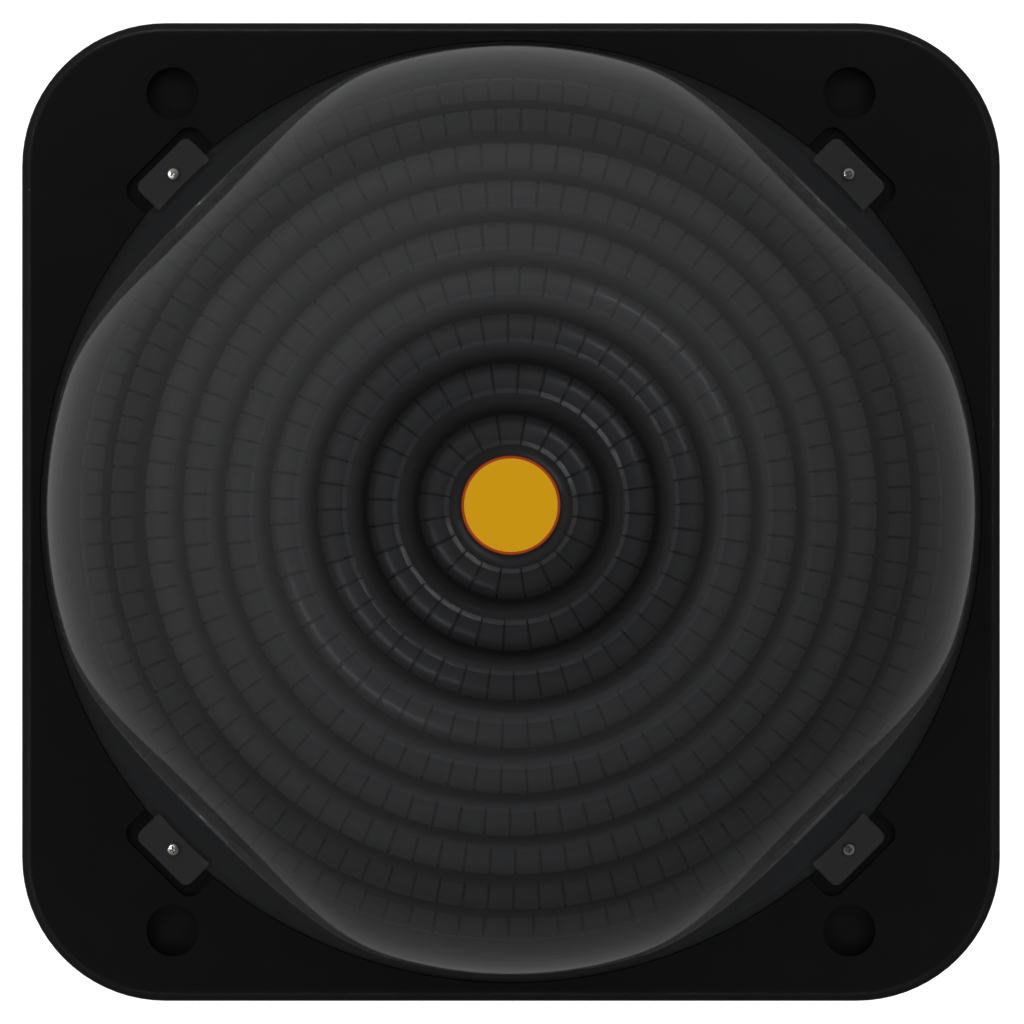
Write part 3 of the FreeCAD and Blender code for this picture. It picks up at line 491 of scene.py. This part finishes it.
def cover_angles(cover):
    """Angles round the cover: even steps, with closer ones at each ear's corners and sides."""
    angles = {round(math.radians(1.5) * i, 9) for i in range(240)}
    half, end, corner = cover.ear_width / 2, cover.ear_reach, cover.ear_corner
    start = math.atan2(half - corner, end)
    stop = math.asin(half / cover.flange_radius)
    steps = 9
    for diagonal in DIAGONALS:
        for i in range(steps + 1):
            for side in (-1, 1):
                turn = diagonal + side * (start + (stop - start) * i / steps)
                angles.add(round(turn % (2 * math.pi), 9))
    return sorted(angles)


def cover_section(cover, angle, rows):
    """Closed outline of the cover at an angle: inner wall down, flange out and back, outer wall up."""
    foot = COVER_LOW.z + cover.ear_drop
    top = foot + cover.flange_thick
    height = COVER_HIGH.z - foot
    reach, rim = ear_reach(cover, angle), cover.flange_radius
    is_ear = reach > rim + 1e-6
    bottom = COVER_LOW.z if is_ear else foot
    lip = top + cover.lip_height
    edge, fillet = cover.edge, cover.fillet
    outline = []
    for i in range(rows, -1, -1):
        z = (height - cover.wall) * math.sin(math.pi / 2 * i / rows) ** (2 / cover.dome_power)
        outline.append((dome_radius(cover, cover.wall, height - cover.wall, angle, z), foot + z))
    outer_foot = dome_radius(cover, 0.0, height, angle, cover.flange_thick)
    outline += [(rim - edge * 1.2, foot), (rim - edge, bottom), (reach - edge, bottom),
                (reach, bottom + edge)]
    if is_ear:
        outline += [(reach, top - edge), (reach - edge, top), (rim + edge, top), (rim, top),
                    (rim - edge, top), (rim - cover.lip_width + edge, top), (rim - cover.lip_width, top),
                    (rim - cover.lip_width - edge, top)]
    else:
        outline += [(reach, lip - edge), (reach - edge, lip), (rim - edge * 1.2, lip),
                    (rim - edge * 1.4, lip), (rim - edge * 1.6, lip), (rim - cover.lip_width + edge, lip),
                    (rim - cover.lip_width, lip - edge), (rim - cover.lip_width - edge, top)]
    outline += [(outer_foot + fillet, top), (outer_foot + fillet * 0.3, top + fillet * 0.3)]
    for i in range(rows + 1):
        low = cover.flange_thick + fillet
        z = low + (height - low) * math.sin(math.pi / 2 * i / rows) ** (2 / cover.dome_power)
        outline.append((dome_radius(cover, 0.0, height, angle, z), foot + z))
    return outline


def build_cover(cover):
    """The cover as one closed mesh, with its ears in the frosted finish."""
    bm = bmesh.new()
    rows = 60
    columns = []
    for angle in cover_angles(cover):
        column = []
        for radius, z in cover_section(cover, angle, rows):
            column.append(bm.verts.new((radius * math.cos(angle), radius * math.sin(angle), z)))
        columns.append(column)
    for first, second in zip(columns, columns[1:] + columns[:1]):
        for i in range(len(first) - 1):
            bm.faces.new((first[i], second[i], second[i + 1], first[i + 1]))
    bmesh.ops.remove_doubles(bm, verts=bm.verts, dist=2e-6)
    bmesh.ops.dissolve_degenerate(bm, edges=bm.edges, dist=1e-7)
    ear_half = math.asin(cover.ear_width / 2 / cover.flange_radius)
    for face in bm.faces:
        middle = face.calc_center_median()
        away = off_diagonal(math.atan2(middle.y, middle.x))
        is_ear = middle.xy.length > cover.flange_radius - cover.lip_width and away < ear_half
        face.material_index = int(is_ear)
    piece = new_piece("clear_cover", bm, clear_plastic(cover), sharp=40)
    piece.data.materials.append(frosted_plastic(cover))
    return piece


class HEATER_OT_cover(bpy.types.Operator):
    """Builds the clear cover with its flange and ears"""
    bl_idname = "heater.cover"
    bl_label = "Clear cover"

    def execute(self, context):
        cover = build_cover(context.scene.heater_cover)
        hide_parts("cover_dome")
        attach(cover, BASE_BODY)
        return {"FINISHED"}


# ---------------------------------------------------------------- coil
def block_mesh(coil, turn_radius, sweep):
    """One raised block of a turn, centred on +X: a bevelled, curved slab over the outer half of the hose."""
    # a block sinks into the smooth hose, and the chamfer along its inner edge runs down to it
    outer, inner = coil.hose_radius, coil.hose_radius - coil.block_height * 1.4
    bevel, high, low, parts = coil.bevel, coil.block_top, -coil.block_bottom, 8
    foot = math.pi / 2 + math.asin(coil.chamfer / inner)
    section = [(inner - bevel, foot), (inner + coil.block_height * 0.25, foot)]
    for i in range(parts + 1):
        section.append((outer, high + (low + bevel / outer - high) * i / parts))
    section += [(outer - bevel, low), (inner, low)]
    turn = bevel / (turn_radius + outer)
    stations = [(-sweep / 2, bevel), (-sweep / 2 + turn, 0.0), (0.0, 0.0), (sweep / 2 - turn, 0.0),
                (sweep / 2, bevel)]
    bm = bmesh.new()
    is_painted_highlight = bm.faces.layers.bool.new("rubbed_edge")
    rows = []
    for angle, shrink in stations:
        row = []
        for radius, tilt in section:
            reach = turn_radius + min(radius, outer - shrink) * math.cos(tilt)
            height = min(radius, outer - shrink) * math.sin(tilt)
            row.append(bm.verts.new((reach * math.cos(angle), reach * math.sin(angle), height)))
        rows.append(row)
    grid_faces(bm, rows)
    # marks the chamfer faces, which get the lighter material that paints their highlight
    for first, second in zip(rows, rows[1:]):
        for face in first[1].link_faces:
            face[is_painted_highlight] = face[is_painted_highlight] or {first[1], first[2], second[1], second[2]} == set(face.verts)
    bm.faces.new(rows[0])
    bm.faces.new(list(reversed(rows[-1])))
    return bm


def join_layout(coil):
    """Place across and inward direction of each join between turns, the return first and the feed last."""
    turns = [high for low, high in TURN_BOXES.values()]
    joins = [(coil.spigot_offset, Vector((0.0, math.sin(coil.return_tilt), -math.cos(coil.return_tilt))))]
    for upper, lower in zip(turns, turns[1:]):
        grows = lower.x - upper.x > coil.bevel
        offset = math.copysign(coil.spigot_offset if grows else coil.wall_offset, -joins[-1][0])
        joins.append((offset, Vector((0.0, upper.z - lower.z, upper.x - lower.x)).normalized()))
    joins.append((math.copysign(coil.wall_offset, -joins[-1][0]), Vector((0.0, 1.0, 0.0))))
    return joins


def spigot_mesh(coil, turn_radius, joins):
    """The stubs of one turn, with the middle of its hose at height 0."""
    bm = bmesh.new()
    for offset, inwards in joins:
        start = Vector((offset, -math.sqrt(turn_radius ** 2 - offset ** 2), 0.0))
        place = Matrix.Translation(start + inwards * coil.spigot_length / 2)
        bmesh.ops.create_cone(bm, cap_ends=True, segments=24, radius1=coil.spigot_radius,
                              radius2=coil.spigot_radius, depth=coil.spigot_length,
                              matrix=place @ inwards.to_track_quat("Z", "Y").to_matrix().to_4x4())
    return bm


def coil_turn_tree():
    """Smooth ring of hose with blocks repeated round it, and the stubs that the host's mesh brings."""
    tree, given, result = node_tree("coil_turn", {
        "Block": ("NodeSocketObject", None), "Turn radius": ("NodeSocketFloat", 0.1),
        "Smooth radius": ("NodeSocketFloat", 0.012), "Height": ("NodeSocketFloat", 0.2),
        "Blocks": ("NodeSocketInt", 20), "Start": ("NodeSocketFloat", 0.0),
        "Material": ("NodeSocketMaterial", None), "Edge material": ("NodeSocketMaterial", None)})
    ring = add_node(tree, "GeometryNodeCurvePrimitiveCircle",
                    {"Radius": given.outputs["Turn radius"], "Resolution": 144})
    section = add_node(tree, "GeometryNodeCurvePrimitiveCircle",
                       {"Radius": given.outputs["Smooth radius"], "Resolution": 24})
    hose = add_node(tree, "GeometryNodeCurveToMesh",
                    {"Curve": ring.outputs["Curve"], "Profile Curve": section.outputs["Curve"]})
    step = add_node(tree, "ShaderNodeMath", {0: 2 * math.pi, 1: given.outputs["Blocks"]}, operation="DIVIDE")
    index = add_node(tree, "GeometryNodeInputIndex")
    angle = add_node(tree, "ShaderNodeMath", {0: index.outputs[0], 1: step.outputs[0],
                                              2: given.outputs["Start"]}, operation="MULTIPLY_ADD")
    turning = add_node(tree, "ShaderNodeCombineXYZ", {"Z": angle.outputs[0]})
    points = add_node(tree, "GeometryNodePoints", {"Count": given.outputs["Blocks"]})
    block = add_node(tree, "GeometryNodeObjectInfo", {"Object": given.outputs["Block"]})
    blocks = add_node(tree, "GeometryNodeInstanceOnPoints",
                      {"Points": points.outputs[0], "Instance": block.outputs["Geometry"],
                       "Rotation": turning.outputs[0]})
    joined = add_node(tree, "GeometryNodeJoinGeometry")
    tree.links.new(hose.outputs[0], joined.inputs[0])
    tree.links.new(blocks.outputs[0], joined.inputs[0])
    tree.links.new(given.outputs["Geometry"], joined.inputs[0])
    lift = add_node(tree, "ShaderNodeCombineXYZ", {"Z": given.outputs["Height"]})
    placed = add_node(tree, "GeometryNodeTransform",
                      {"Geometry": joined.outputs[0], "Translation": lift.outputs[0]})
    plain = add_node(tree, "GeometryNodeRealizeInstances", {"Geometry": placed.outputs[0]})
    painted = add_node(tree, "GeometryNodeSetMaterial",
                       {"Geometry": plain.outputs[0], "Material": given.outputs["Material"]})
    # the chamfer faces take the lighter material that paints their highlight
    is_painted_highlight = add_node(tree, "GeometryNodeInputNamedAttribute", {"Name": "rubbed_edge"}, data_type="BOOLEAN")
    edges = add_node(tree, "GeometryNodeSetMaterial",
                     {"Geometry": painted.outputs[0], "Selection": is_painted_highlight.outputs[0],
                      "Material": given.outputs["Edge material"]})
    tree.links.new(edges.outputs[0], result.inputs[0])
    return tree


def build_turn(name, number, coil, tree, material):
    """One turn of the coil at the place of its CAD node."""
    high = TURN_BOXES[name][1]
    turn_radius = high.x - coil.hose_radius
    # pitch and groove are measured at this radius, on a block's slope
    slope_radius = turn_radius + coil.hose_radius * 0.57
    blocks = math.ceil(2 * math.pi * slope_radius / coil.pitch)
    sweep = 2 * math.pi / blocks - coil.groove / slope_radius
    block = new_piece(name + "_block", block_mesh(coil, turn_radius, sweep), material, sharp=24)
    joins = join_layout(coil)[number:number + 2]
    host = new_piece(name + "_hose", spigot_mesh(coil, turn_radius, joins), material)
    run_tree(host, tree, {
        "Block": block, "Turn radius": turn_radius, "Smooth radius": coil.hose_radius - coil.block_height,
        "Height": high.z - coil.hose_radius, "Blocks": blocks, "Start": GOLDEN_ANGLE * number,
        "Material": material, "Edge material": materials()["rubbed_hose_edge"]})
    bpy.data.objects.remove(block)
    return host


class HEATER_OT_coil(bpy.types.Operator):
    """Builds the turns of the hose coil with their raised blocks"""
    bl_idname = "heater.coil"
    bl_label = "Hose coil"

    def execute(self, context):
        tree = coil_turn_tree()
        material = materials()["hose_plastic"]
        for number, name in enumerate(TURN_BOXES):
            turn = build_turn(name, number, context.scene.heater_coil, tree, material)
            if number < UPPER_TURNS:
                light_collection("upper_turns").objects.link(turn)
            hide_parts(name)
            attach(turn, BASE_BODY)
        return {"FINISHED"}


# ---------------------------------------------------------------- disc
class HEATER_OT_disc(bpy.types.Operator):
    """Builds the amber disc and its red-orange rim"""
    bl_idname = "heater.disc"
    bl_label = "Sun disc"

    def execute(self, context):
        disc = context.scene.heater_disc
        radius, top, bottom = DISC_HIGH.x, DISC_HIGH.z, DISC_LOW.z
        inside = radius - disc.rim_width
        sag, edge, steps = disc.sag, disc.edge, 96
        face = bmesh.new()
        outline = [(0.0, bottom), (inside, bottom), (inside, top - sag - edge / 3)]
        outline += [(inside * share, top - sag * share ** 3) for share in (0.985, 0.8, 0.5, 0.2)]
        outline.append((0.0, top))
        lathe(face, outline, steps, closed=False)
        amber = plastic("amber_film", disc.colour, 0.38, grain=1500.0, dust=0.0)
        rim = bmesh.new()
        crown = top - sag
        lathe(rim, [(inside, bottom), (radius, bottom), (radius, crown - edge),
                    (radius - edge, crown), (inside + edge, crown), (inside, crown - edge * 2 / 3)], steps)
        red = plastic("red_orange_film", disc.rim_colour, 0.35, grain=1500.0, dust=0.0)
        made = (new_piece("sun_disc_face", face, amber), new_piece("sun_disc_rim", rim, red))
        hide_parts("sun_disc")
        for piece in made:
            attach(piece, BASE_BODY)
        return {"FINISHED"}


# ---------------------------------------------------------------- screws
def screw_head_mesh(radius, height, shank, length):
    """Pan head screw with its shank, its head standing on z = 0; the tapered cross recess is cut into it
    later.
    """
    bm = bmesh.new()
    crown = [(0.0, height), (radius * 0.55, height * 0.96), (radius * 0.8, height * 0.82),
             (radius * 0.94, height * 0.55), (radius, height * 0.2), (radius, 0.0), (shank, 0.0),
             (shank, -length), (0.0, -length)]
    lathe(bm, crown, 48, closed=False)
    return bm


def cross_cutter(arm, width, depth, top):
    """A cross that narrows downwards, as one closed block."""
    bm = bmesh.new()
    rows = []
    for z, reach, half in ((top, arm, width / 2), (top - depth, arm * 0.45, width * 0.36)):
        row = []
        for quarter in range(4):
            spin = Matrix.Rotation(quarter * math.pi / 2, 3, "Z")
            for x, y in ((half, -half), (reach, -half), (reach, half)):
                row.append(bm.verts.new(spin @ Vector((x, y, z))))
        rows.append(row)
    grid_faces(bm, rows)
    bm.faces.new(rows[0])
    bm.faces.new(list(reversed(rows[1])))
    return bm


def screws_tree():
    """A screw on each corner of a square, each turned by chance."""
    tree, given, result = node_tree("corner_screws", {
        "Screw": ("NodeSocketObject", None), "Ring radius": ("NodeSocketFloat", 0.3),
        "Height": ("NodeSocketFloat", 0.0), "Seed": ("NodeSocketInt", 7),
        "Material": ("NodeSocketMaterial", None)})
    ring = add_node(tree, "GeometryNodeMeshCircle", {"Vertices": 4, "Radius": given.outputs["Ring radius"]})
    lift = add_node(tree, "ShaderNodeCombineXYZ", {"Z": given.outputs["Height"]})
    corners = add_node(tree, "GeometryNodeTransform",
                       {"Geometry": ring.outputs[0], "Translation": lift.outputs[0],
                        "Rotation": (0.0, 0.0, math.pi / 4)})
    chance = add_node(tree, "FunctionNodeRandomValue", {"Seed": given.outputs["Seed"]})
    chance.inputs[3].default_value = math.pi / 2
    turning = add_node(tree, "ShaderNodeCombineXYZ", {"Z": chance.outputs[1]})
    screw = add_node(tree, "GeometryNodeObjectInfo", {"Object": given.outputs["Screw"]})
    placed = add_node(tree, "GeometryNodeInstanceOnPoints",
                      {"Points": corners.outputs[0], "Instance": screw.outputs["Geometry"],
                       "Rotation": turning.outputs[0]})
    plain = add_node(tree, "GeometryNodeRealizeInstances", {"Geometry": placed.outputs[0]})
    painted = add_node(tree, "GeometryNodeSetMaterial",
                       {"Geometry": plain.outputs[0], "Material": given.outputs["Material"]})
    tree.links.new(painted.outputs[0], result.inputs[0])
    return tree


class HEATER_OT_screws(bpy.types.Operator):
    """Builds the four cover screws"""
    bl_idname = "heater.screws"
    bl_label = "Cover screws"

    def execute(self, context):
        steel = materials()["stainless"]
        sizes = context.scene.heater_screws
        height = SCREWS_HIGH.z - DECK_Z
        screw = new_piece("one_screw", screw_head_mesh(sizes.head_radius, height, sizes.shank_radius,
                                                       DECK_Z - SCREWS_LOW.z), steel)
        cutter = new_piece("cross_cutter", cross_cutter(sizes.cross_arm, sizes.cross_width, sizes.cross_depth,
                                                        height + 0.0002), steel)
        cut = screw.modifiers.new("cross", "BOOLEAN")
        cut.operation, cut.solver, cut.object = "DIFFERENCE", "EXACT", cutter
        plain_copy(screw)
        screw.data.shade_smooth()
        screw.data.set_sharp_from_angle(angle=math.radians(30))
        ring_radius = (SCREWS_HIGH.x - sizes.head_radius) * math.sqrt(2)
        piece = new_piece("cover_screw_set", bmesh.new(), steel)
        run_tree(piece, screws_tree(), {"Screw": screw, "Ring radius": ring_radius, "Height": DECK_Z,
                                        "Seed": 7, "Material": steel})
        bpy.data.objects.remove(screw)
        bpy.data.objects.remove(cutter)
        light_collection("screws").objects.link(piece)
        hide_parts("cover_screws")
        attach(piece, BASE_BODY)
        return {"FINISHED"}


# ---------------------------------------------------------------- ports
def thread_mesh(base, centre, start_y, end_y):
    """Helical ridge inside a port's bore, along Y; it fades out at both ends."""
    bm = bmesh.new()
    pitch, depth, radius, steps = base.thread_pitch, base.thread_depth, base.bore_radius, 36
    turns = (end_y - start_y) / pitch - 1
    rows = []
    for i in range(int(turns * steps) + 1):
        angle = 2 * math.pi * i / steps
        y = start_y + pitch / 2 + pitch * i / steps
        ends = min(1.0, i / steps, (turns * steps - i) / steps + 0.02)
        row = []
        for reach, along in ((0.0002, -0.42), (-depth * ends, -0.1), (-depth * ends, 0.1), (0.0002, 0.42)):
            r = radius + reach
            row.append(bm.verts.new((centre.x + r * math.cos(angle), y + along * pitch,
                                     centre.z + r * math.sin(angle))))
        rows.append(row)
    grid_faces(bm, rows)
    bm.faces.new(rows[0])
    bm.faces.new(list(reversed(rows[-1])))
    return bm


class HEATER_OT_ports(bpy.types.Operator):
    """Builds the threads in the two hose ports"""
    bl_idname = "heater.ports"
    bl_label = "Port threads"

    def execute(self, context):
        base = context.scene.heater_base
        found = materials()
        give(("inlet_socket", "outlet_socket"), found["port_plastic"])
        for name, (low, high) in zip(("inlet_thread", "outlet_thread"), PORT_BOXES):
            centre = Vector(((low.x + high.x) / 2, low.y, (low.z + high.z) / 2))
            thread = thread_mesh(base, centre, low.y + base.thread_start, low.y + base.thread_end)
            piece = new_piece(name, thread, found["port_plastic"])
            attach(piece, BASE_BODY)
        return {"FINISHED"}


# ---------------------------------------------------------------- CAD pieces that keep their shape
class HEATER_OT_finishes(bpy.types.Operator):
    """Gives each CAD piece that keeps its shape its finish"""
    bl_idname = "heater.finishes"
    bl_label = "Finishes"

    def execute(self, context):
        found = materials()
        give(("base_tray",), found["base_plastic"])
        light_collection("base_pieces").objects.link(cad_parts["base_tray"])
        give(("base_pan",), found["pan_plastic"])
        give(("left_leg", "right_leg"), found["leg_plastic"])
        give(("foot_pads", "left_leg_tip", "right_leg_tip", "cover_seal", "port_seals", "pipe_grommets"),
             found["rubber"])
        give(("pan_screws", "port_screws", "arm_screws", "hose_clamps", "left_leg_pin", "right_leg_pin"),
             found["stainless"])
        give(("crossover_links", "feed_pipe", "return_pipe"), found["fitting_plastic"])
        give(["support_arm_%d" % number for number in range(1, 5)] + ["top_hub"], found["arm_plastic"])
        return {"FINISHED"}


# ---------------------------------------------------------------- stage
def add_light(name, place, target, size, power, glossy=True):
    """A soft rectangular lamp; one that isn't glossy gives light but isn't seen as a reflection."""
    data = bpy.data.lights.new(name, "AREA")
    data.shape, data.size, data.size_y, data.energy = "RECTANGLE", size[0], size[1], power
    light = bpy.data.objects.new(name, data)
    light.location = place
    light.rotation_euler = (Vector(target) - Vector(place)).to_track_quat("-Z", "Y").to_euler()
    light.visible_glossy = glossy
    light.visible_transmission = glossy
    bpy.context.scene.collection.objects.link(light)
    return light


def light_collection(name):
    """Collection of the pieces that a trim light lights."""
    return bpy.data.collections.get(name) or bpy.data.collections.new(name)


def add_trim(name, place, size, power, pieces):
    """A soft lamp that lights some pieces only; it aims at the origin."""
    light = add_light(name, place, (0.0, 0.0, 0.0), size, power)
    light.data.cycles.use_multiple_importance_sampling = False
    light.light_linking.receiver_collection = light_collection(pieces)


def build_world(stage):
    """Soft studio: dark overhead, brightest high on the walls, and brighter at the back and the left."""
    world = bpy.data.worlds.new("studio")
    world.use_nodes = True
    tree = world.node_tree
    place = add_node(tree, "ShaderNodeTexCoord").outputs["Generated"]
    parts = add_node(tree, "ShaderNodeSeparateXYZ", {0: place})
    level = add_node(tree, "ShaderNodeMapRange", {"Value": parts.outputs["Z"], "From Min": -1.0})
    ramp = add_node(tree, "ShaderNodeValToRGB", {"Fac": level.outputs[0]})
    stops = ((0.0, stage.below), (0.45, stage.below), (0.62, stage.horizon), (0.90, stage.walls),
             (0.985, stage.overhead))
    ramp.color_ramp.interpolation = "EASE"
    while len(ramp.color_ramp.elements) < len(stops):
        ramp.color_ramp.elements.new(0.5)
    for element, (position, value) in zip(ramp.color_ramp.elements, stops):
        element.position = position
        element.color = (value, value, value, 1.0)
    left = add_node(tree, "ShaderNodeMath", {0: parts.outputs["X"], 1: -stage.tilt * 0.6, 2: 1.0},
                    operation="MULTIPLY_ADD")
    lean = add_node(tree, "ShaderNodeMath", {0: parts.outputs["Y"], 1: stage.tilt, 2: left.outputs[0]},
                    operation="MULTIPLY_ADD")
    tree.links.new(ramp.outputs["Color"], tree.nodes["Background"].inputs["Color"])
    tree.links.new(lean.outputs[0], tree.nodes["Background"].inputs["Strength"])
    bpy.context.scene.world = world


def build_camera(stage):
    """Camera that looks straight down, with a small shift that makes up for its offset."""
    middle = Vector((0.0006, -0.0001, DECK_Z))
    data = bpy.data.cameras.new("camera")
    data.sensor_width = 36.0
    data.lens = data.sensor_width * stage.camera_distance / stage.view_width
    data.shift_y = stage.camera_offset / stage.view_width
    data.clip_end = 50.0
    camera = bpy.data.objects.new("camera", data)
    camera.location = middle + Vector((0.0, -stage.camera_offset, stage.camera_distance))
    bpy.context.scene.collection.objects.link(camera)
    bpy.context.scene.camera = camera


def pale_floor(stage):
    """Matt white finish that is clear from below, so that the underside and the open legs can be seen."""
    material, tree, shader = new_material("pale_floor")
    set_values(shader, Base_Color=(0.8, 0.8, 0.8, 1.0), Roughness=0.9, Specular_IOR_Level=0.0,
               Emission_Color=(1.0, 1.0, 1.0, 1.0), Emission_Strength=stage.floor_glow)
    side = add_node(tree, "ShaderNodeNewGeometry")
    clear = add_node(tree, "ShaderNodeBsdfTransparent")
    mix = add_node(tree, "ShaderNodeMixShader", {0: side.outputs["Backfacing"], 1: shader.outputs[0],
                                                 2: clear.outputs[0]})
    tree.links.new(mix.outputs[0], tree.nodes["Material Output"].inputs["Surface"])
    return material


class HEATER_OT_stage(bpy.types.Operator):
    """Builds the floor, the lights and the camera"""
    bl_idname = "heater.stage"
    bl_label = "Stage"

    def execute(self, context):
        stage = context.scene.heater_stage
        bm = bmesh.new()
        bmesh.ops.create_grid(bm, x_segments=1, y_segments=1, size=20.0)
        floor = new_piece("floor", bm, pale_floor(stage))
        floor.visible_glossy = False
        floor.visible_transmission = False
        build_world(stage)
        middle = (0.0, 0.0, 0.15)
        for number, (x, y) in enumerate(((1.6, 1.5), (-1.6, -1.5), (-1.5, 1.6), (1.5, -1.6))):
            add_light("key_%d" % (number + 1), (x, y, 2.2), middle, (1.2, 1.2), stage.key_power, glossy=False)
        for number, (x, y) in enumerate(((1.5, 1.5), (-1.5, -1.5))):
            add_trim("strip_%d" % (number + 1), (x, y, 0.95), (2.2, 0.3), stage.strip_power, "upper_turns")
        add_trim("screw_light", (-0.9, 0.2, 1.6), (0.7, 0.7), stage.screw_power, "screws")
        sides = ((0, 1.3, 1.0), (-1.3, 0, 0.45), (1.3, 0, 0.3), (0, -1.3, 0.3))
        for number, (x, y, share) in enumerate(sides):
            add_trim("band_%d" % (number + 1), (x, y, 1.35), (1.8, 0.1), stage.band_power * share,
                     "base_pieces")
        build_camera(stage)
        context.scene.view_settings.view_transform = "Standard"
        return {"FINISHED"}


# ---------------------------------------------------------------- panel and registration
OPERATORS = (HEATER_OT_stage, HEATER_OT_finishes, HEATER_OT_cover, HEATER_OT_coil, HEATER_OT_disc,
             HEATER_OT_screws, HEATER_OT_ports)


class HEATER_PT_panel(bpy.types.Panel):
    """Lists the heater's operators"""
    bl_idname = "HEATER_PT_panel"
    bl_label = "Solar dome pool heater"
    bl_space_type = "VIEW_3D"
    bl_region_type = "UI"
    bl_category = "Heater"

    def draw(self, context):
        for operator in OPERATORS:
            self.layout.operator(operator.bl_idname)


def register():
    for name, settings in SETTINGS.items():
        bpy.utils.register_class(settings)
        setattr(bpy.types.Scene, name, bpy.props.PointerProperty(type=settings))
    for operator in OPERATORS:
        bpy.utils.register_class(operator)
    bpy.utils.register_class(HEATER_PT_panel)


def unregister():
    bpy.utils.unregister_class(HEATER_PT_panel)
    for operator in reversed(OPERATORS):
        bpy.utils.unregister_class(operator)
    for name, settings in SETTINGS.items():
        delattr(bpy.types.Scene, name)
        bpy.utils.unregister_class(settings)


def main():
    """Builds everything."""
    register()
    bpy.ops.heater.stage()
    bpy.ops.heater.finishes()
    bpy.ops.heater.cover()
    bpy.ops.heater.coil()
    bpy.ops.heater.disc()
    bpy.ops.heater.screws()
    bpy.ops.heater.ports()


if __name__ == "__main__":
    main()
